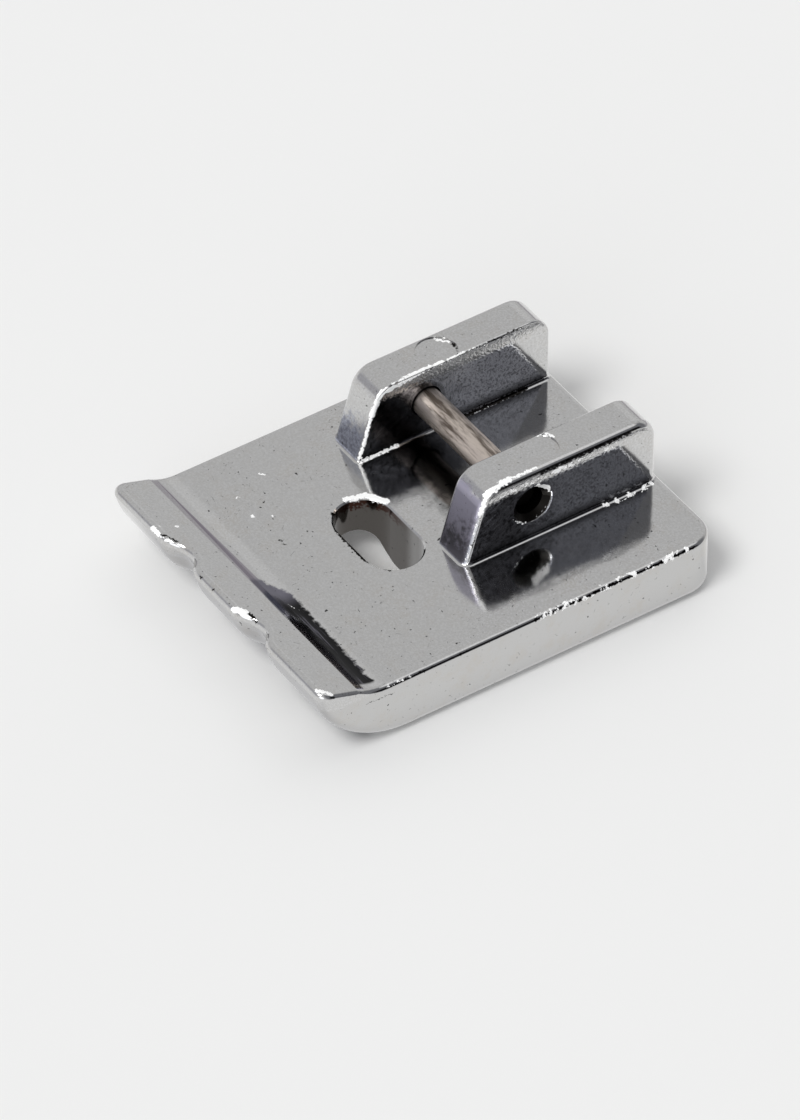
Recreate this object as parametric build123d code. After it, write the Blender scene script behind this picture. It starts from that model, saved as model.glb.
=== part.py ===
from build123d import *
import math
import os

# Sewing machine presser foot, millimetres. +X is the foot's right and -Y its toe. The flat of the sole
# is at z = 0, and the origin is the bottom centre of the box round the foot.

# Sole
sole_width = 18.0
sole_length = 22.6
plate_thickness = 3.3
rear_corner_radius = 1.5
sole_edge_radius = 0.7
top_edge_radius = 0.3

# Turned-up toe
toe_curl_radius = 5.1
toe_rise = 1.2
toe_top_run = 2.2
ramp_run = 0.95
ramp_rise = 0.48
ramp_foot_radius = 2.6
ramp_top_radius = 0.4

# Half-round cording tunnels under the sole
tunnel_radius = 1.45
tunnel_spacing = 6.1
tunnel_lip_depth = 0.55
tunnel_mouth_radius = 1.3

# Needle slot
slot_length = 5.35
slot_width = 2.95
slot_before_ears = 2.0
slot_chamfer = 0.08

# Ears
ear_thickness = 2.2
ear_gap = 6.7
ear_offset = -1.35
ear_height = 3.95
ear_length = 11.0
ear_rear_inset = 0.3
ear_front_lean = 1.2
ear_front_radius = 1.25
ear_rear_radius = 1.2
ear_outer_edge_radius = 0.42
ear_inner_edge_radius = 0.18
ear_foot_radius = 0.2

# Cross pin and its holes
pin_diameter = 1.5
pin_height = 2.0
pin_from_rear = 7.4
pin_recess = 0.8
pin_end_chamfer = 0.18
hole_mouth_diameter = 2.2
hole_mouth_depth = 0.35
hole_inner_chamfer = 0.1

# Round ejector marks on the tops of the ears, set in from each ear's middle
mark_diameter = 2.1
mark_depth = 0.07
mark_behind_pin = 1.15
mark_inset = 0.25

# Places worked out from the sizes
toe_y = -sole_length / 2
rear_y = sole_length / 2
half_width = sole_width / 2
toe_top_z = plate_thickness + toe_rise
tip_below_curl = toe_curl_radius - toe_top_z
curl_y = toe_y + math.sqrt(toe_curl_radius**2 - tip_below_curl**2)
tunnel_roof_radius = toe_curl_radius - tunnel_radius
tunnel_curl_y = toe_y + tunnel_lip_depth + math.sqrt(tunnel_roof_radius**2 - tip_below_curl**2)
ramp_top_y = toe_y + toe_top_run
ramp_foot_y = ramp_top_y + ramp_run
ear_rear_y = rear_y - ear_rear_inset
ear_front_y = ear_rear_y - ear_length
slot_y = ear_front_y - slot_before_ears
ear_top_z = plate_thickness + ear_height
ear_root_z = plate_thickness / 2
outer_span = ear_gap + 2 * ear_thickness
pin_y = rear_y - pin_from_rear
pin_z = plate_thickness + pin_height
pin_length = outer_span - 2 * pin_recess

# Two places closer than TOUCH are one place, and a cutter runs CUT_PAST beyond the metal that it cuts
TOUCH = 1e-3
CUT_PAST = 1.0

# Degrees that a tunnel's cutter turns up with the toe, past the toe's top edge
TUNNEL_TURN = 100


def same(a, b):
    return abs(a - b) < TOUCH


def on_underside(point):
    """True for a point on the flat of the sole or on the outer curl of the toe."""
    if point.Y > curl_y - TOUCH:
        return same(point.Z, 0)
    return same(math.hypot(point.Y - curl_y, point.Z - toe_curl_radius), toe_curl_radius)


def edges_where(body, test):
    """The edges whose ends and middle all pass the test."""
    return [e for e in body.edges() if all(test(e @ share) for share in (0, 0.5, 1))]


def sole_blank():
    """The plate and its curled toe: one side outline carried across the width, with rounded rear corners."""
    with BuildSketch(Plane.YZ) as outline:
        with BuildLine():
            Polyline(
                (curl_y, 0),
                (rear_y, 0),
                (rear_y, plate_thickness),
                (ramp_foot_y, plate_thickness),
                (ramp_top_y, plate_thickness + ramp_rise),
                (toe_y, toe_top_z),
            )
            TangentArc((curl_y, 0), (toe_y, toe_top_z), tangent=(-1, 0))
        make_face()
        fillet([v for v in outline.vertices() if same(v.X, ramp_foot_y)], ramp_foot_radius)
        fillet([v for v in outline.vertices() if same(v.X, ramp_top_y)], ramp_top_radius)
    blank = extrude(outline.sketch, amount=half_width, both=True)
    rear_corners = [e for e in blank.edges().filter_by(Axis.Z) if same(e.center().Y, rear_y)]
    return fillet(rear_corners, rear_corner_radius)


def tunnel_cutter(x):
    """A round bar that runs along the sole and turns up with the toe, where it leaves only the lip."""
    section = Plane(origin=(x, tunnel_curl_y, 0), x_dir=(1, 0, 0), z_dir=(0, -1, 0)) * Circle(tunnel_radius)
    straight = extrude(section, amount=-(rear_y - tunnel_curl_y + CUT_PAST))
    up_the_toe = revolve(section, Axis((x, tunnel_curl_y, toe_curl_radius), (1, 0, 0)), -TUNNEL_TURN)
    return straight + up_the_toe


def sole():
    """The blank with its tunnels and needle slot cut and its edges softened."""
    body = sole_blank()
    tunnel_places = (-tunnel_spacing / 2, tunnel_spacing / 2)
    for x in tunnel_places:
        body -= tunnel_cutter(x)

    def on_mouth(point):
        beside = min(abs(point.X - x) for x in tunnel_places)
        return on_underside(point) and beside < tunnel_radius + TOUCH

    mouths = [e for e in edges_where(body, on_mouth) if abs((e @ 0).Y - (e @ 1).Y) > TOUCH]
    body = fillet(mouths, tunnel_mouth_radius)

    def on_side_sole(point):
        return on_underside(point) and same(abs(point.X), half_width)

    body = fillet(edges_where(body, on_side_sole), sole_edge_radius)

    def on_top_side(point):
        return point.Z > plate_thickness - TOUCH and same(abs(point.X), half_width)

    body = fillet(edges_where(body, on_top_side), top_edge_radius)
    slot = SlotOverall(slot_length, slot_width)
    body -= Pos(0, slot_y, 0) * extrude(slot, amount=plate_thickness + CUT_PAST, both=True)

    def on_slot_rim(point):
        across = abs(point.X) < slot_length / 2 + TOUCH
        along = abs(point.Y - slot_y) < slot_width / 2 + TOUCH
        return same(point.Z, plate_thickness) and across and along

    return chamfer(edges_where(body, on_slot_rim), slot_chamfer)


def ear(side):
    """One upright ear, side -1 on the left and 1 on the right, with a leaning front and softened edges."""
    near_x = ear_offset + side * ear_gap / 2
    far_x = near_x + side * ear_thickness
    with BuildSketch(Plane.YZ.offset(near_x)) as outline:
        with BuildLine():
            Polyline(
                (ear_front_y, ear_root_z),
                (ear_rear_y, ear_root_z),
                (ear_rear_y, ear_top_z),
                (ear_front_y + ear_front_lean, ear_top_z),
                (ear_front_y, plate_thickness),
                close=True,
            )
        make_face()
        tops = outline.vertices().filter_by(lambda v: same(v.Y, ear_top_z))
        fillet(tops.sort_by(Axis.X)[0], ear_front_radius)
        tops = outline.vertices().filter_by(lambda v: same(v.Y, ear_top_z))
        fillet(tops.sort_by(Axis.X)[-1], ear_rear_radius)
    body = extrude(outline.sketch, amount=side * ear_thickness)

    for face_x, radius in ((near_x, ear_inner_edge_radius), (far_x, ear_outer_edge_radius)):
        rim = [e for e in edges_where(body, lambda point: same(point.X, face_x))]
        body = fillet([e for e in rim if e.center().Z > ear_root_z + TOUCH], radius)
    return body


def pin_bore():
    """The bore through both ears, wider at its outer mouths and just broken at its inner ones."""
    pin_radius = pin_diameter / 2
    mouth_radius = hole_mouth_diameter / 2
    half_gap = ear_gap / 2
    half_span = outer_span / 2
    with BuildSketch() as half_section:
        with BuildLine():
            Polyline(
                (-half_span, 0),
                (-half_span, mouth_radius),
                (-half_span + hole_mouth_depth, pin_radius),
                (-half_gap - hole_inner_chamfer, pin_radius),
                (-half_gap, pin_radius + hole_inner_chamfer),
                (half_gap, pin_radius + hole_inner_chamfer),
                (half_gap + hole_inner_chamfer, pin_radius),
                (half_span - hole_mouth_depth, pin_radius),
                (half_span, mouth_radius),
                (half_span, 0),
                close=True,
            )
        make_face()
    return Pos(ear_offset, pin_y, pin_z) * revolve(half_section.sketch, Axis.X)


def foot_casting():
    """The whole casting: sole and ears in one, bored for the pin and marked by the ejectors."""
    body = sole() + ear(-1) + ear(1)

    def on_ear_foot(point):
        beside = abs(point.X - ear_offset) < outer_span / 2 + TOUCH
        along = ear_front_y - TOUCH < point.Y < ear_rear_y + TOUCH
        return same(point.Z, plate_thickness) and beside and along

    body = fillet(edges_where(body, on_ear_foot), ear_foot_radius) - pin_bore()
    for side in (-1, 1):
        mark_x = ear_offset + side * ((ear_gap + ear_thickness) / 2 - mark_inset)
        mark_place = Pos(mark_x, pin_y + mark_behind_pin, ear_top_z)
        body -= mark_place * Cylinder(mark_diameter / 2, 2 * mark_depth)
    return body


def cross_pin():
    """A plain round pin with a small chamfer on each end."""
    blank = Pos(ear_offset, pin_y, pin_z) * Rot(0, 90, 0) * Cylinder(pin_diameter / 2, pin_length)
    return chamfer(blank.edges().filter_by(GeomType.CIRCLE), pin_end_chamfer)


os.makedirs("parts", exist_ok=True)
export_step(foot_casting(), "parts/foot_casting.step")
export_step(cross_pin(), "parts/cross_pin.step")
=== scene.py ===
import math

import bpy
from mathutils import Matrix, Vector


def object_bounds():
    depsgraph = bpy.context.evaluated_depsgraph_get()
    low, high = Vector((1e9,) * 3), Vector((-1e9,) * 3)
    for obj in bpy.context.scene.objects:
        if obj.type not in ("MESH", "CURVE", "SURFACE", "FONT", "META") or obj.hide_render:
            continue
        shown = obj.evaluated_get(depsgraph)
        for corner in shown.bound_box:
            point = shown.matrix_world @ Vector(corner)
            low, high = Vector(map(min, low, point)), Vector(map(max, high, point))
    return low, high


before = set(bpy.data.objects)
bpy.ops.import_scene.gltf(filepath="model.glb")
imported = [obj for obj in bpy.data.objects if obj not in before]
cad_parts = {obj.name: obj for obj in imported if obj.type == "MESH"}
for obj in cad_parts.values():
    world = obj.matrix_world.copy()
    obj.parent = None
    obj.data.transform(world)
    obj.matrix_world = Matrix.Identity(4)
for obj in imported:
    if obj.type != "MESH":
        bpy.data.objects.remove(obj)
cad_box = [list(corner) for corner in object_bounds()]

# The camera looks down on the foot from beyond its toe and its right side, through a long lens.
# Its turn and height were matched to the corners of the plate and the ears in the photograph.
MM = 0.001
picture_width, picture_height = 800, 1120
camera_turn = math.radians(56.0)
camera_height = math.radians(42.08)
camera_distance = 460.8 * MM
pixels_per_metre = 21.274 / MM
aim_point = Vector((0, 0.35, 3.3)) * MM
aim_pixel = (419.8, 515.1)
sensor_size = 36
nearest_seen = 0.01
farthest_seen = 20

camera_data = bpy.data.cameras.new("camera")
camera = bpy.data.objects.new("camera", camera_data)
bpy.context.scene.collection.objects.link(camera)
bpy.context.scene.camera = camera
to_right = Vector((math.cos(camera_turn), math.sin(camera_turn), 0))
to_camera = Vector(
    (
        math.sin(camera_turn) * math.cos(camera_height),
        -math.cos(camera_turn) * math.cos(camera_height),
        math.sin(camera_height),
    )
)
to_top = to_camera.cross(to_right)
aim_right = (aim_pixel[0] - picture_width / 2) / pixels_per_metre
aim_down = (aim_pixel[1] - picture_height / 2) / pixels_per_metre
camera_place = aim_point - aim_right * to_right + aim_down * to_top + camera_distance * to_camera
turned = Matrix((to_right, to_top, to_camera)).transposed().to_4x4()
camera.matrix_world = Matrix.Translation(camera_place) @ turned

# The sensor's size is that of the picture's longer side, which is its height
camera_data.sensor_width = sensor_size
camera_data.lens = pixels_per_metre * camera_distance * sensor_size / picture_height
camera_data.clip_start = nearest_seen
camera_data.clip_end = farthest_seen
bpy.context.scene.view_settings.view_transform = "Standard"

# The foot stands on a wide pale sheet, lit by one soft lamp high in front of its toe. The room that the
# chrome mirrors is pale, with a grey side beyond the toe, a dark side at the foot's right, a window low
# beyond the toe's right corner and a lamp on the ceiling.
floor_half = 3.0
floor_colour = (0.86, 0.86, 0.85, 1)
backdrop_colour = (0.86, 0.86, 0.85, 1)
mirrored_floor_colour = (0.96, 0.96, 0.955, 1)
mirrored_shade_colour = (0.62, 0.62, 0.63, 1)
shade_reach = 3.0 * MM
shade_drawn_in = 1.0 * MM
half_foot_x, half_foot_y, foot_top = cad_box[1]
room_colour = (0.70, 0.70, 0.70, 1)
horizon_colour = (0.45, 0.43, 0.46, 1)
horizon_heights = (0.04, 0.22)
horizon_side = (-0.62, 0.78, 0.0)
horizon_spread = (20, 75)
front_side = (-0.45, -0.85, 0.35)
low_front_colour = (0.86, 0.86, 0.87, 1)
low_front_heights = (0.18, 0.30)
low_front_spread = (45, 65)
lamp_direction = Vector((0.15, -0.57, 0.82))
lamp_strength = 1.45
lamp_spread = math.radians(24)

# A patch of the room has a direction, the degrees at which it starts to fade and has faded, and a colour
grey_front = (front_side, 20, 32, (0.52, 0.52, 0.55, 1))
dark_side = ((0.70, 0.48, 0.50), 32, 55, (0.225, 0.228, 0.245, 1))
pale_band = ((-0.62, 0.63, 0.50), 6, 12, (0.78, 0.78, 0.78, 1))
window = ((0.62, -0.76, 0.30), 10, 24, (2.0, 2.05, 2.15, 1))
ceiling_lamp = ((0.16, 0.40, 0.90), 8, 18, (1.0, 1.0, 1.01, 1))
black_side = ((0.83, 0.47, 0.36), 9, 20, (0.012, 0.012, 0.013, 1))


def add_node(tree, kind, inputs=None, **settings):
    """Adds a shader node with its settings. Each input is given a value, or the socket that feeds it."""
    made = tree.nodes.new(kind)
    for name, value in settings.items():
        setattr(made, name, value)
    for name, value in (inputs or {}).items():
        if isinstance(value, bpy.types.NodeSocket):
            tree.links.new(value, made.inputs[name])
        else:
            made.inputs[name].default_value = value
    return made


def sums(tree, operation, a, b=0.0):
    """One step of arithmetic on two values."""
    return add_node(tree, "ShaderNodeMath", {0: a, 1: b}, operation=operation).outputs[0]


def vectors(tree, operation, a, b=(0, 0, 0), output="Vector"):
    """One step of arithmetic on two vectors."""
    return add_node(tree, "ShaderNodeVectorMath", {0: a, 1: b}, operation=operation).outputs[output]


# A smooth step keeps within 0 and 1 by itself. No step of arithmetic in this file is clamped, because the
# casting's material has so many that clamped ones would make it too large for the renderer.
def ease(tree, value, start, end):
    """A smooth step from 0 where the value is start to 1 where it is end."""
    step = {"Value": value, "From Min": start, "From Max": end}
    made = add_node(tree, "ShaderNodeMapRange", step, interpolation_type="SMOOTHSTEP", clamp=False)
    return made.outputs["Result"]


def opposite(tree, share):
    """1 where the share is 0, and 0 where it is 1."""
    return sums(tree, "SUBTRACT", 1.0, share)


def fade(tree, value, start, end):
    """A smooth step from 1 where the value is start to 0 where it is end."""
    return opposite(tree, ease(tree, value, start, end))


def blend_colours(tree, share, a, b):
    """Colour a where the share is 0 and colour b where it is 1."""
    return add_node(tree, "ShaderNodeMix", {0: share, 6: a, 7: b}, data_type="RGBA").outputs[2]


def near_direction(tree, direction, aim, full, none):
    """1 within full degrees of the aim and 0 beyond none degrees."""
    cosine = vectors(tree, "DOT_PRODUCT", direction, Vector(aim).normalized(), "Value")
    return ease(tree, cosine, math.cos(math.radians(none)), math.cos(math.radians(full)))


def patched(tree, direction, room, *patches):
    """The colours of the room with patches laid over them, one after the other."""
    for aim, full, none, colour in patches:
        room = blend_colours(tree, near_direction(tree, direction, aim, full, none), room, colour)
    return room


world = bpy.data.worlds.new("studio")
bpy.context.scene.world = world
world.use_nodes = True
tree = world.node_tree
tree.nodes.clear()
direction = add_node(tree, "ShaderNodeTexCoord").outputs["Generated"]
height = add_node(tree, "ShaderNodeSeparateXYZ", {0: direction}).outputs["Z"]
on_far_side = near_direction(tree, direction, horizon_side, *horizon_spread)
horizon = sums(tree, "MULTIPLY", fade(tree, height, *horizon_heights), on_far_side)
room = patched(tree, direction, room_colour, grey_front, dark_side)
room = blend_colours(tree, horizon, room, horizon_colour)
in_front = near_direction(tree, direction, front_side, *low_front_spread)
low_front = sums(tree, "MULTIPLY", fade(tree, height, *low_front_heights), in_front)
room = blend_colours(tree, low_front, room, low_front_colour)
room = patched(tree, direction, room, pale_band, window, ceiling_lamp, black_side)
seen = add_node(tree, "ShaderNodeLightPath").outputs["Is Camera Ray"]
sky = add_node(tree, "ShaderNodeBackground", {"Color": blend_colours(tree, seen, room, backdrop_colour)})
add_node(tree, "ShaderNodeOutputWorld", {"Surface": sky.outputs[0]})

# The chrome mirrors the sheet as evenly bright, with a shade round the foot that is narrower at its sides
floor_mesh = bpy.data.meshes.new("floor")
floor_corners = [(x * floor_half, y * floor_half, 0) for x, y in ((-1, -1), (1, -1), (1, 1), (-1, 1))]
floor_mesh.from_pydata(floor_corners, [], [(0, 1, 2, 3)])
floor = bpy.data.objects.new("floor", floor_mesh)
bpy.context.scene.collection.objects.link(floor)
paper = bpy.data.materials.new("pale_sheet")
paper.use_nodes = True
tree = paper.node_tree
tree.nodes.clear()
matt = add_node(tree, "ShaderNodeBsdfDiffuse", {"Color": floor_colour})
place = add_node(tree, "ShaderNodeTexCoord").outputs["Object"]
beyond = vectors(tree, "SUBTRACT", vectors(tree, "ABSOLUTE", place), (half_foot_x, half_foot_y, 0))
beyond = add_node(tree, "ShaderNodeSeparateXYZ", {0: beyond}).outputs
from_foot = sums(tree, "MAXIMUM", sums(tree, "ADD", beyond["X"], shade_drawn_in), beyond["Y"])
out_of_shade = ease(tree, from_foot, -shade_reach / 2, shade_reach)
sheet_colour = blend_colours(tree, out_of_shade, mirrored_shade_colour, mirrored_floor_colour)
mirrored = add_node(tree, "ShaderNodeEmission", {"Color": sheet_colour})
in_chrome = add_node(tree, "ShaderNodeLightPath").outputs["Is Glossy Ray"]
sheet = add_node(tree, "ShaderNodeMixShader", {0: in_chrome, 1: matt.outputs[0], 2: mirrored.outputs[0]})
add_node(tree, "ShaderNodeOutputMaterial", {"Surface": sheet.outputs[0]})
floor_mesh.materials.append(paper)

lamp_data = bpy.data.lights.new("soft_lamp", "SUN")
lamp_data.energy = lamp_strength
lamp_data.angle = lamp_spread
lamp = bpy.data.objects.new("soft_lamp", lamp_data)
lamp.rotation_mode = "QUATERNION"
lamp.rotation_quaternion = lamp_direction.to_track_quat("Z", "Y")
bpy.context.scene.collection.objects.link(lamp)

# The foot itself is one zinc die casting, polished on its broad faces and plated with bright chrome. The
# sides of the ears keep the casting's grain and carry painted shade towards the front. The plating has
# chipped at the toe and along the edges, where painted highlights and painted dark lines lie too, and
# painted shade darkens the holes and slot.
chrome_colour = (0.535, 0.533, 0.53, 1)
tarnish_colour = (0.525, 0.51, 0.49, 1)
speckle_colour = (0.60, 0.60, 0.60, 1)
# Painted light among these colours: the pale skin is a lit side; the colours for the left ear's front, the
# right ear's lower front, the crease at the ramp, the slot's walls and the red-brown on its left are
# painted shade; the dark skin serves painted shade as well as hollows in the grain; the two near-blacks
# serve painted shade as well as the scuff and the pits; and the white serves painted highlights as well as
# chips.
grey_skin_colour = (0.57, 0.58, 0.62, 1)
lit_skin_colour = (0.94, 0.95, 1.0, 1)
dark_skin_colour = (0.15, 0.15, 0.16, 1)
left_shade_colour = (0.40, 0.42, 0.49, 1)
dark_left_shade_colour = (0.24, 0.25, 0.30, 1)
right_front_tint_colour = (0.40, 0.385, 0.47, 1)
right_front_shade_colour = (0.13, 0.125, 0.145, 1)
crease_shade_colour = (0.33, 0.308, 0.34, 1)
scuff_colour = (0.17, 0.165, 0.20, 1)
scuff_and_shade_black = (0.012, 0.012, 0.013, 1)
pit_and_shade_black = (0.012, 0.011, 0.010, 1)
red_shade_colour = (0.045, 0.02, 0.014, 1)
slot_wall_colour = (0.29, 0.285, 0.275, 1)
shaded_wall_colour = (0.115, 0.107, 0.098, 1)
chip_and_highlight_white = (1.0, 1.0, 0.99, 1)
polish_roughness = 0.085
skin_roughness = 0.13
ear_front_roughness = 0.24
right_front_roughness = 0.38
chip_roughness = 0.40

# Sizes of the casting in millimetres
plate_top = 3.3
ear_top = foot_top / MM
ears_middle = -1.35
ear_from_middle = 4.45
half_ear = 1.1
ear_inner = ear_from_middle - half_ear
pin_y, pin_z = 3.9, 5.3
hole_radius = 1.06
slot_y = -2.0
half_slot_straight = 1.2
slot_radius = 1.5
dubbed_from = 6.4
dubbed_slope = 0.55
ripple_depth = 0.02
grain_depth = 0.01

# Each mark runs from one place to another and has a reach to each side, all in millimetres. Its outline
# wavers within the raggedness, and its edge is soft.
raggedness = 0.32
soft_edge = 0.03
# White chips in the plating, and painted highlights where edges, rims and the hole's mouth catch the lamp
chips_and_highlights = [
    ((-5.3, -11.15, 4.28), (-4.85, -11.12, 4.28), 0.15),
    ((-4.75, -11.15, 4.2), (-4.2, -10.95, 4.2), 0.08),
    ((-5.2, -10.8, 4.34), (-5.15, -10.8, 4.34), 0.07),
    ((-5.0, -10.05, 4.09), (-5.0, -9.95, 4.06), 0.09),
    ((1.55, -11.07, 4.29), (1.95, -10.75, 4.31), 0.18),
    ((1.95, -10.9, 4.25), (2.3, -10.8, 4.2), 0.12),
    ((8.35, -11.05, 4.4), (8.8, -10.5, 4.25), 0.12),
    ((-4.38, -6.22, 3.3), (-4.33, -6.2, 3.3), 0.11),
    ((-3.83, -5.44, 3.3), (-3.8, -5.44, 3.3), 0.07),
    ((-6.65, -4.25, 3.3), (-6.45, -4.15, 3.3), 0.07),
    ((-5.8, -6.15, 3.3), (-5.85, -6.0, 3.3), 0.05),
    ((1.75, -8.3, 3.35), (2.15, -8.2, 3.33), 0.06),
    ((2.45, -8.05, 3.3), (2.6, -8.0, 3.3), 0.06),
    ((3.98, 1.35, 6.95), (3.86, 2.7, 7.24), 0.19),
    ((3.86, 2.7, 7.24), (3.92, 4.2, 7.24), 0.09),
    ((4.12, 1.2, 6.8), (4.14, 0.92, 6.1), 0.17),
    ((4.14, 0.92, 6.1), (4.14, 0.12, 3.5), 0.09),
    ((-4.78, 1.35, 6.97), (-4.80, 3.8, 7.23), 0.17),
    ((-4.82, 3.8, 7.23), (-4.82, 4.9, 7.22), 0.12),
    ((-4.80, 5.2, 7.22), (-4.78, 6.1, 7.22), 0.10),
    ((-4.74, 6.1, 7.20), (-4.74, 7.4, 7.20), 0.05),
    ((-4.76, 1.35, 6.97), (-4.76, 0.82, 5.8), 0.16),
    ((-4.76, 0.82, 5.8), (-4.74, 0.15, 3.5), 0.11),
    ((-4.62, 0.05, 3.37), (-4.62, 2.2, 3.37), 0.09),
    ((-6.37, 5.47, 7.2), (-6.18, 5.68, 7.2), 0.10),
    ((-6.05, 5.73, 7.2), (-5.85, 5.96, 7.2), 0.09),
    ((1.95, 5.4, 7.2), (2.05, 5.85, 7.22), 0.10),
    ((2.2, 6.0, 7.25), (2.6, 6.15, 7.25), 0.09),
    ((4.12, 4.15, 6.28), (4.12, 4.7, 5.92), 0.2),
    ((4.12, 4.75, 5.9), (4.12, 4.85, 5.6), 0.08),
    ((4.15, 2.8, 4.85), (4.15, 3.4, 4.3), 0.06),
    ((4.15, 3.4, 4.3), (4.15, 3.7, 4.35), 0.05),
    ((4.12, 4.2, 4.35), (4.12, 4.75, 4.75), 0.035),
    ((4.33, 7.95, 3.34), (4.33, 8.05, 3.34), 0.14),
    ((-2.87, -1.9, 3.28), (-2.6, -0.95, 3.28), 0.19),
    ((-2.6, -0.95, 3.28), (-1.7, -0.42, 3.28), 0.20),
]
# Broken white chips and painted highlights along edges
mottled_chips_and_highlights = [
    ((8.93, 0.9, 3.22), (8.93, 9.4, 3.22), 0.19),
    ((4.38, 8.6, 3.31), (4.3, 10.6, 3.31), 0.17),
    ((4.17, 1.9, 6.75), (4.17, 8.6, 6.72), 0.14),
    ((8.93, -7.5, 3.24), (8.93, -6.2, 3.24), 0.08),
]
# Black pits, and black lines painted along edges and rims as shade and dark reflection
pits_and_shade_lines = [
    ((-4.7, -11.05, 4.32), (-4.2, -10.82, 4.31), 0.06),
    ((-4.2, -10.82, 4.31), (-3.95, -10.68, 4.25), 0.07),
    ((2.1, -10.62, 4.26), (2.4, -10.6, 4.18), 0.10),
    ((2.4, -10.6, 4.18), (2.65, -10.57, 4.07), 0.07),
    ((1.92, -10.98, 3.7), (1.94, -10.97, 3.55), 0.07),
    ((-1.2, -11.16, 4.26), (-1.15, -11.12, 4.28), 0.08),
    ((-0.2, -11.15, 4.26), (-0.15, -11.12, 4.28), 0.07),
    ((-2.2, -6.1, 3.3), (-2.1, -6.05, 3.3), 0.06),
    ((-1.95, -6.1, 3.3), (-1.75, -6.0, 3.3), 0.05),
    ((8.85, -10.5, 4.25), (9.0, -9.6, 3.95), 0.06),
    ((8.97, -7.6, 3.2), (8.97, -2.8, 3.2), 0.05),
    ((8.97, 0.8, 3.2), (8.97, 9.8, 3.2), 0.09),
    ((-4.6, 4.4, 3.36), (-4.6, 9.6, 3.36), 0.12),
    ((4.17, 4.4, 6.99), (4.17, 9.4, 7.02), 0.085),
    ((4.18, 1.1, 6.6), (4.2, 0.35, 4.1), 0.10),
    ((-4.75, 5.9, 7.18), (-4.75, 9.4, 7.18), 0.05),
    ((-5.62, 6.02, 7.21), (-5.25, 6.02, 7.21), 0.09),
    ((-5.25, 6.02, 7.21), (-4.80, 5.78, 7.21), 0.06),
    ((2.02, 5.65, 7.2), (2.15, 5.85, 7.22), 0.05),
    ((-6.1, 1.55, 7.05), (-5.35, 1.15, 6.6), 0.035),
    ((-6.35, 0.85, 6.0), (-5.35, 1.0, 6.3), 0.035),
    ((-2.4, -2.98, 3.28), (-1.2, -3.55, 3.28), 0.11),
    ((-1.2, -3.55, 3.28), (1.2, -3.55, 3.28), 0.10),
    ((1.2, -3.55, 3.28), (2.4, -2.98, 3.28), 0.12),
    ((9.0, -8.68, 2.81), (9.0, -7.18, 2.72), 0.035),
]


def scaled(tree, vector, factor):
    """A vector times a factor."""
    inputs = {0: vector, "Scale": factor}
    return add_node(tree, "ShaderNodeVectorMath", inputs, operation="SCALE").outputs[0]


def new_group(name, inputs, outputs):
    """An empty shader node group with its named sockets, each given by its type and first value."""
    group = bpy.data.node_groups.new(name, "ShaderNodeTree")
    for label, kind, value in inputs:
        socket = group.interface.new_socket(label, in_out="INPUT", socket_type=kind)
        socket.default_value = value
    for label, kind in outputs:
        group.interface.new_socket(label, in_out="OUTPUT", socket_type=kind)
    return group, group.nodes.new("NodeGroupInput"), group.nodes.new("NodeGroupOutput")


# A mark is 1 near the line from Start to End, and 0 at its reach. Beyond that it falls below 0.
mark_sockets = [
    ("Place", "NodeSocketVector", (0, 0, 0)),
    ("Start", "NodeSocketVector", (0, 0, 0)),
    ("End", "NodeSocketVector", (0, 0, 0)),
    ("Reach", "NodeSocketFloat", 0.1),
]
mark, given, put_out = new_group("mark", mark_sockets, [("Mark", "NodeSocketFloat")])
from_start = vectors(mark, "SUBTRACT", given.outputs["Place"], given.outputs["Start"])
whole = vectors(mark, "SUBTRACT", given.outputs["End"], given.outputs["Start"])
along = vectors(mark, "DOT_PRODUCT", from_start, whole, "Value")
length_squared = vectors(mark, "DOT_PRODUCT", whole, whole, "Value")
share = sums(mark, "DIVIDE", along, sums(mark, "ADD", length_squared, 1e-6))
share = sums(mark, "MAXIMUM", sums(mark, "MINIMUM", share, 1.0), 0.0)
distance = vectors(mark, "DISTANCE", from_start, scaled(mark, whole, share), "Value")
inside = sums(mark, "SUBTRACT", given.outputs["Reach"], distance)
inside = sums(mark, "MINIMUM", sums(mark, "DIVIDE", inside, soft_edge), 1.0)
mark.links.new(inside, put_out.inputs["Mark"])


def marks(tree, place, lines):
    """The strongest of the marks along the given lines, and 0 beyond them all."""
    total = 0.0
    for start, end, reach in lines:
        made = tree.nodes.new("ShaderNodeGroup")
        made.node_tree = mark
        tree.links.new(place, made.inputs["Place"])
        made.inputs["Start"].default_value = start
        made.inputs["End"].default_value = end
        made.inputs["Reach"].default_value = reach
        total = sums(tree, "MAXIMUM", made.outputs["Mark"], total)
    return total


def between(tree, share, low, high):
    """The value low where the share is 0 and high where it is 1."""
    step = {"Value": share, "To Min": low, "To Max": high}
    return add_node(tree, "ShaderNodeMapRange", step, clamp=False).outputs["Result"]


def wavered(tree, value, pattern, reach):
    """A value that a pattern moves up and down, by the reach at most."""
    return sums(tree, "ADD", value, between(tree, pattern, -reach, reach))


def noise(tree, place, scale, detail, roughness=0.5):
    """Fractal noise, with its scale in waves per millimetre."""
    settings = {"Vector": place, "Scale": scale, "Detail": detail, "Roughness": roughness}
    return add_node(tree, "ShaderNodeTexNoise", settings).outputs["Fac"]


def most(tree, *values):
    """The largest of several values, or 0 where all are below it."""
    total = 0.0
    for value in values:
        total = sums(tree, "MAXIMUM", value, total)
    return total


def product(tree, *values):
    """Several values multiplied."""
    total = 1.0
    for value in values:
        total = sums(tree, "MULTIPLY", value, total)
    return total


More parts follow.
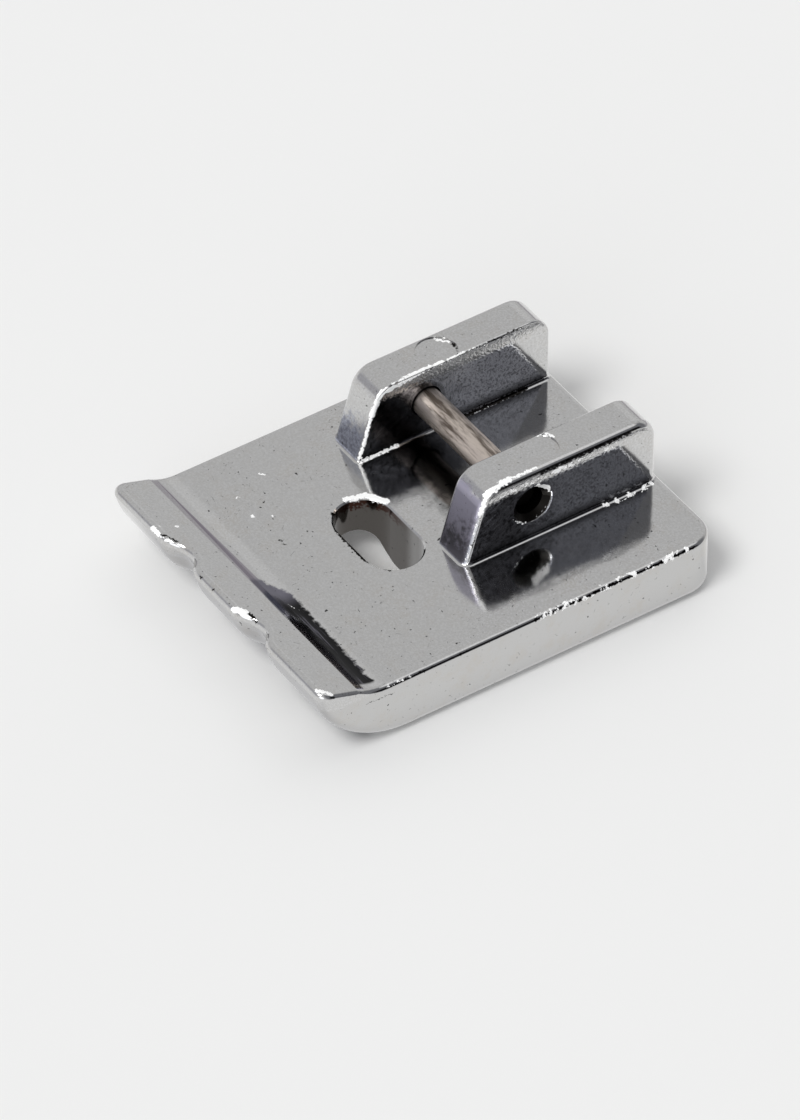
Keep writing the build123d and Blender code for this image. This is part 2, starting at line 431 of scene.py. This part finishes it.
def remapped(tree, vector, scale=(1, 1, 1), turn=(0, 0, 0)):
    """A vector turned and stretched, for a pattern that runs one way."""
    inputs = {"Vector": vector, "Rotation": turn, "Scale": scale}
    return add_node(tree, "ShaderNodeMapping", inputs).outputs[0]


def bumped(tree, height, depth, normal=None):
    """The normal of a surface raised by its height times the depth, over an earlier normal if given."""
    inputs = {"Height": height, "Distance": depth * MM}
    if normal is not None:
        inputs["Normal"] = normal
    return add_node(tree, "ShaderNodeBump", inputs).outputs[0]


def new_finish(name):
    """A new material with its node tree, its shader, and the place on the foot in millimetres."""
    material = bpy.data.materials.new(name)
    material.use_nodes = True
    tree = material.node_tree
    place = scaled(tree, add_node(tree, "ShaderNodeTexCoord").outputs["Object"], 1 / MM)
    return material, tree, tree.nodes["Principled BSDF"], place


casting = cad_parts["foot_casting"]
chrome, tree, shader, place = new_finish("worn_chrome")
axes = add_node(tree, "ShaderNodeSeparateXYZ", {0: place}).outputs
x, y, z = axes["X"], axes["Y"], axes["Z"]
ripple = noise(tree, place, scale=0.45, detail=2.0)
patches = noise(tree, place, scale=1.1, detail=4.0, roughness=0.65)
mottle = noise(tree, place, scale=3.2, detail=3.0, roughness=0.6)
grain = noise(tree, place, scale=6.0, detail=3.0, roughness=0.6)
fine_grain = noise(tree, place, scale=16.0, detail=2.0)
tarnish = ease(tree, noise(tree, place, scale=0.7, detail=5.0, roughness=0.7), 0.45, 0.75)

# The sides of the ears keep the casting's skin below the polished top and rear corner. They have painted
# shade at the front, are pale at the rear, and have painted shade again near the plate. Each pair says
# where a change starts and ends.
ears_start_y = (-0.6, -0.4)
dark_to_pale_y = (2.6, 6.2)
foot_shade_height = (0.15, 0.9)
foot_shade_share = 0.75
top_polish_z = (6.45, 6.62)
corner_slope = 0.62
corner_polish = (12.75, 12.9)
from_middle = sums(tree, "ABSOLUTE", sums(tree, "SUBTRACT", x, ears_middle))
from_ear = sums(tree, "ABSOLUTE", sums(tree, "SUBTRACT", from_middle, ear_from_middle))
above_plate = ease(tree, z, plate_top + 0.02, plate_top + 0.1)
behind_toe = ease(tree, y, *ears_start_y)
on_side = product(tree, ease(tree, from_ear, half_ear - 0.05, half_ear - 0.02), above_plate, behind_toe)
# Painted shade: the sides are darker at the front and low down near the plate
darkening = fade(tree, wavered(tree, y, patches, reach=2.0), *dark_to_pale_y)
low_down = fade(tree, z, plate_top + foot_shade_height[0], plate_top + foot_shade_height[1])
darkening = most(tree, darkening, product(tree, low_down, foot_shade_share))
toward_top = wavered(tree, z, grain, reach=0.35)
toward_rear = sums(tree, "ADD", y, sums(tree, "MULTIPLY", toward_top, corner_slope))
polished = most(tree, ease(tree, toward_top, *top_polish_z), ease(tree, toward_rear, *corner_polish))
skin = product(tree, on_side, opposite(tree, polished))

# Polishing streaks climb the sides of the ears from the front. The left ear's front has painted dark
# reflection at its foot; the right ear's front is tinted lilac all over, with painted dark reflection low
# down that climbs to the right.
streak_climb = math.radians(31)
front_ends_y = (1.0, 1.25)
front_starts_y = (-0.3, -0.1)
left_shade_z = (4.3, 5.4)
right_ear_x = (1.0, 1.1)
right_shade_z = (2.6, 4.6)
right_shade_slope = 0.35
climbing = remapped(tree, place, turn=(-streak_climb, 0, 0))
drawn_up = remapped(tree, climbing, scale=(1.0, 0.35, 3.5))
streaks = noise(tree, drawn_up, scale=1.3, detail=4.0, roughness=0.6)
ragged_front = wavered(tree, y, patches, reach=0.3)
on_front = product(
    tree,
    fade(tree, from_ear, half_ear - 0.25, half_ear - 0.05),
    fade(tree, ragged_front, *front_ends_y),
    ease(tree, y, *front_starts_y),
    above_plate,
)
left_shade_top = wavered(tree, z, mottle, reach=1.2)
left_front_shade = product(tree, on_front, fade(tree, left_shade_top, *left_shade_z))
right_front = product(tree, on_front, ease(tree, x, *right_ear_x))
right_shade_height = wavered(tree, z, mottle, reach=2.4)
right_shade_height = sums(tree, "SUBTRACT", right_shade_height, sums(tree, "MULTIPLY", x, right_shade_slope))
right_front_shade = fade(tree, right_shade_height, *right_shade_z)

# Painted shade lies along the crease at the foot of the ramp, from nothing on the left to its widest at the
# middle
crease_shade_y = -8.75
half_crease_shade_at_middle = 0.26
crease_shade_widening = 0.027
crease_shade_end_x = (-0.2, 0.8)
half_crease_shade = sums(tree, "ADD", half_crease_shade_at_middle, sums(tree, "MULTIPLY", x, crease_shade_widening))
inside_crease_shade = sums(tree, "SUBTRACT", half_crease_shade, sums(tree, "ABSOLUTE", sums(tree, "ADD", y, -crease_shade_y)))
crease_shade = product(tree, ease(tree, inside_crease_shade, 0.0, 0.05), fade(tree, x, *crease_shade_end_x))

# The painted crease shade ends in a wide black scuff with scratches along it
scuff_front_y = (-9.08, -8.98)
scuff_rear_y = -7.62
scuff_taper = 0.025
scuff_start_x = (-0.4, 1.3)
narrower_at_start = 0.8
scuff_left_x = (-0.5, -0.1)
scuff_right_x = (8.3, 8.5)
black_from_x = (0.9, 2.2)
blacker_from_y = (-8.95, -8.5)
scuff_rear = sums(tree, "SUBTRACT", scuff_rear_y, sums(tree, "MULTIPLY", x, scuff_taper))
scuff_start = sums(tree, "MULTIPLY", fade(tree, x, *scuff_start_x), narrower_at_start)
scuff_rear = sums(tree, "SUBTRACT", scuff_rear, scuff_start)
scuff_rear = wavered(tree, scuff_rear, mottle, reach=0.3)
scuff_ends = sums(tree, "SUBTRACT", ease(tree, x, *scuff_left_x), ease(tree, x, *scuff_right_x))
scuff_front = ease(tree, y, *scuff_front_y)
before_rear = sums(tree, "SUBTRACT", scuff_rear, y)
scuff = product(tree, ease(tree, before_rear, -0.03, 0.18), scuff_front, scuff_ends)
along_scuff = remapped(tree, place, scale=(0.3, 4.0, 4.0))
scratches = ease(tree, noise(tree, along_scuff, scale=1.0, detail=4.0, roughness=0.6), 0.55, 0.75)
blacker_rear = between(tree, ease(tree, y, *blacker_from_y), 0.2, 1.0)
black_scuff = product(tree, ease(tree, x, *black_from_x), opposite(tree, scratches), blacker_rear)

# Painted shadow on the plate under the pin, between the ears
pin_shadow_front_y = (1.0, 2.2)
pin_shadow_rear_y = (3.6, 5.4)
pin_shadow_share = 0.85
pin_shadow_y = wavered(tree, y, patches, reach=1.0)
under_pin = product(
    tree,
    ease(tree, pin_shadow_y, *pin_shadow_front_y),
    fade(tree, pin_shadow_y, *pin_shadow_rear_y),
    fade(tree, z, plate_top + 0.01, plate_top + 0.05),
    ease(tree, z, plate_top - 0.05, plate_top - 0.01),
    fade(tree, from_middle, ear_inner - 0.15, ear_inner + 0.15),
)

# Painted shade in the cross holes and the needle slot, darker towards the slot's left, with red-brown
# painted shade high on the slot's left wall
red_shade_z = (2.75, 2.9)
red_shade_x = (-1.0, 0.5)
pale_wall_x = (0.0, 0.9)
from_pin_y = sums(tree, "SUBTRACT", y, pin_y)
from_pin_z = sums(tree, "SUBTRACT", z, pin_z)
from_pin = sums(tree, "ADD", product(tree, from_pin_y, from_pin_y), product(tree, from_pin_z, from_pin_z))
from_pin = wavered(tree, sums(tree, "SQRT", from_pin), mottle, reach=0.05)
in_hole = product(
    tree,
    fade(tree, from_pin, hole_radius - 0.03, hole_radius + 0.03),
    ease(tree, from_middle, ear_inner - 0.01, ear_inner + 0.01),
)
from_straight = sums(tree, "SUBTRACT", sums(tree, "ABSOLUTE", x), half_slot_straight)
from_straight = sums(tree, "MAXIMUM", from_straight, 0.0)
from_slot_y = sums(tree, "SUBTRACT", y, slot_y)
round_ends = product(tree, from_straight, from_straight)
slot_reach = sums(tree, "ADD", round_ends, product(tree, from_slot_y, from_slot_y))
in_slot = product(
    tree,
    fade(tree, slot_reach, slot_radius**2, slot_radius**2 + 0.05),
    fade(tree, z, plate_top - 0.12, plate_top - 0.06),
)
red_shade_edge = ease(tree, wavered(tree, z, grain, reach=0.9), *red_shade_z)
red_shade = product(tree, in_slot, red_shade_edge, fade(tree, x, *red_shade_x))

# The chips and painted highlights, the pits and painted dark lines, the pinholes and the hairline cracks
skin_pit_share = 0.8
hairline_share = 0.4
wobble = add_node(tree, "ShaderNodeTexNoise", {"Vector": place, "Scale": 6.0, "Detail": 3.0})
wobble = vectors(tree, "SUBTRACT", wobble.outputs["Color"], (0.5, 0.5, 0.5))
ragged_place = vectors(tree, "ADD", place, scaled(tree, wobble, raggedness))
chip_and_highlight = marks(tree, ragged_place, chips_and_highlights)
broken = ease(tree, mottle, 0.50, 0.56)
chip_and_highlight = most(tree, chip_and_highlight, product(tree, marks(tree, ragged_place, mottled_chips_and_highlights), broken))
pinholes = ease(tree, noise(tree, place, scale=5.0, detail=2.0), 0.70, 0.76)
cells = {"Vector": place, "Scale": 1.3}
crazing = add_node(tree, "ShaderNodeTexVoronoi", cells, feature="DISTANCE_TO_EDGE")
hairlines = fade(tree, crazing.outputs["Distance"], 0.006, 0.022)
hairlines = product(tree, hairlines, ease(tree, mottle, 0.60, 0.66), hairline_share)
skin_pits = product(tree, skin, ease(tree, grain, 0.60, 0.67))
pit_and_shade_line = marks(tree, ragged_place, pits_and_shade_lines)
black = most(tree, pit_and_shade_line, pinholes, product(tree, skin_pits, skin_pit_share), in_hole, hairlines)

# The colours are laid over one another: chrome, ears, plate and slot, then scuff, pits and chips, with
# their painted shade and highlights
left_ear_x = (-5.0, -4.8)
left_inside_x = (-4.6, -4.5)
streak_strength = 0.45
shade_patch_strength = 0.8
hollow_strength = 0.65
colour = blend_colours(tree, tarnish, chrome_colour, tarnish_colour)
speckle = ease(tree, noise(tree, place, scale=9.0, detail=3.0, roughness=0.7), 0.40, 0.66)
speckle = product(tree, speckle, ease(tree, z, plate_top - 0.1, plate_top - 0.02))
colour = blend_colours(tree, speckle, colour, speckle_colour)
# The inside of the left ear is painted paler than the other sides, as a lit side
on_left_inside = sums(tree, "SUBTRACT", ease(tree, x, *left_ear_x), ease(tree, x, *left_inside_x))
skin_colour = blend_colours(tree, on_left_inside, grey_skin_colour, lit_skin_colour)
skin_colour = blend_colours(tree, darkening, skin_colour, dark_skin_colour)
streak_share = product(tree, darkening, ease(tree, streaks, 0.45, 0.7), streak_strength)
skin_colour = blend_colours(tree, streak_share, skin_colour, grey_skin_colour)
# Black painted shade in patches over the darkened front and foot of the sides
shade_patches = most(tree, ease(tree, mottle, 0.50, 0.62), low_down)
shade_patches = product(tree, darkening, shade_patches, shade_patch_strength)
skin_colour = blend_colours(tree, shade_patches, skin_colour, scuff_and_shade_black)
hollows = product(tree, fade(tree, grain, 0.36, 0.52), hollow_strength)
skin_colour = blend_colours(tree, hollows, skin_colour, dark_skin_colour)
colour = blend_colours(tree, skin, colour, skin_colour)
# Painted dark reflection at the foot of the left ear's front, with a mottled top
mottled_left_shade = blend_colours(tree, ease(tree, grain, 0.42, 0.62), left_shade_colour, dark_left_shade_colour)
colour = blend_colours(tree, left_front_shade, colour, mottled_left_shade)
# The right ear's front is tinted lilac, with painted dark reflection low down
right_front_colour = blend_colours(tree, right_front_shade, right_front_tint_colour, right_front_shade_colour)
colour = blend_colours(tree, right_front, colour, right_front_colour)
# Painted shade along the crease at the foot of the ramp
colour = blend_colours(tree, crease_shade, colour, crease_shade_colour)
# Painted shadow under the pin
colour = blend_colours(tree, product(tree, under_pin, pin_shadow_share), colour, scuff_and_shade_black)
# Painted shade on the slot's walls, darker to the left, then red-brown painted shade high on the left wall
wall_colour = blend_colours(tree, ease(tree, x, *pale_wall_x), shaded_wall_colour, slot_wall_colour)
colour = blend_colours(tree, in_slot, colour, wall_colour)
colour = blend_colours(tree, red_shade, colour, red_shade_colour)
scuffed_colour = blend_colours(tree, black_scuff, scuff_colour, scuff_and_shade_black)
colour = blend_colours(tree, scuff, colour, scuffed_colour)
# Black pits, hairlines and pinholes, with painted dark lines and painted shade in the holes
colour = blend_colours(tree, black, colour, pit_and_shade_black)
# White chips and painted highlights
colour = blend_colours(tree, chip_and_highlight, colour, chip_and_highlight_white)
tree.links.new(colour, shader.inputs["Base Color"])

# The grain makes the polish uneven. A chip and a painted highlight are dull and aren't metallic, so that
# they are white from every side.
dull = between(tree, grain, polish_roughness - 0.03, polish_roughness + 0.05)
dull = sums(tree, "ADD", dull, product(tree, skin, skin_roughness - polish_roughness))
dull = most(tree, dull, product(tree, most(tree, chip_and_highlight, in_hole), chip_roughness))
right_front_dull = product(tree, right_front, right_front_roughness)
dull = most(tree, dull, right_front_dull, product(tree, on_front, ear_front_roughness))
tree.links.new(dull, shader.inputs["Roughness"])
tree.links.new(opposite(tree, chip_and_highlight), shader.inputs["Metallic"])

# Polishing has rubbed the top of each side round: its height falls as the square of the way into the band
into_band = sums(tree, "SUBTRACT", wavered(tree, z, grain, reach=0.12), dubbed_from)
into_band = sums(tree, "MAXIMUM", into_band, 0.0)
dubbing = product(tree, into_band, into_band, on_side, -dubbed_slope / (2 * (ear_top - dubbed_from)))
dubbed = bumped(tree, dubbing, 1.0)
rippled = bumped(tree, ripple, ripple_depth, dubbed)
skin_height = product(tree, skin, sums(tree, "ADD", grain, product(tree, streaks, darkening)))
relief = sums(tree, "ADD", product(tree, fine_grain, 0.06), skin_height)
tree.links.new(bumped(tree, relief, grain_depth, rippled), shader.inputs["Normal"])
casting.data.materials.clear()
casting.data.materials.append(chrome)

# The cross pin is a plain drawn steel rod, pressed through both ears and left bare.
# Its grey is a little brown, with streaks along its length from drawing and handling.
steel_colour = (0.60, 0.53, 0.475, 1)
streak_colour = (0.15, 0.122, 0.103, 1)
steel_roughness = 0.36
drawn_depth = 0.03
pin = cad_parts["cross_pin"]
steel, tree, shader, place = new_finish("bare_steel")
shader.inputs["Metallic"].default_value = 1.0
x = add_node(tree, "ShaderNodeSeparateXYZ", {0: place}).outputs["X"]
drawn_out = remapped(tree, place, scale=(0.22, 1.6, 1.6))
streaks = noise(tree, drawn_out, scale=1.5, detail=5.0, roughness=0.65)
streaked = ease(tree, streaks, 0.47, 0.64)
from_middle = sums(tree, "ABSOLUTE", sums(tree, "SUBTRACT", x, ears_middle))
in_ear = ease(tree, from_middle, ear_inner - 0.15, ear_inner + 0.05)
colour = blend_colours(tree, streaked, steel_colour, streak_colour)
# Where the pin lies inside the ears it is painted black, as shade in the holes
colour = blend_colours(tree, in_ear, colour, pit_and_shade_black)
tree.links.new(colour, shader.inputs["Base Color"])
dull = between(tree, streaks, steel_roughness - 0.1, steel_roughness + 0.15)
tree.links.new(dull, shader.inputs["Roughness"])
tree.links.new(bumped(tree, streaks, drawn_depth), shader.inputs["Normal"])
pin.data.materials.clear()
pin.data.materials.append(steel)
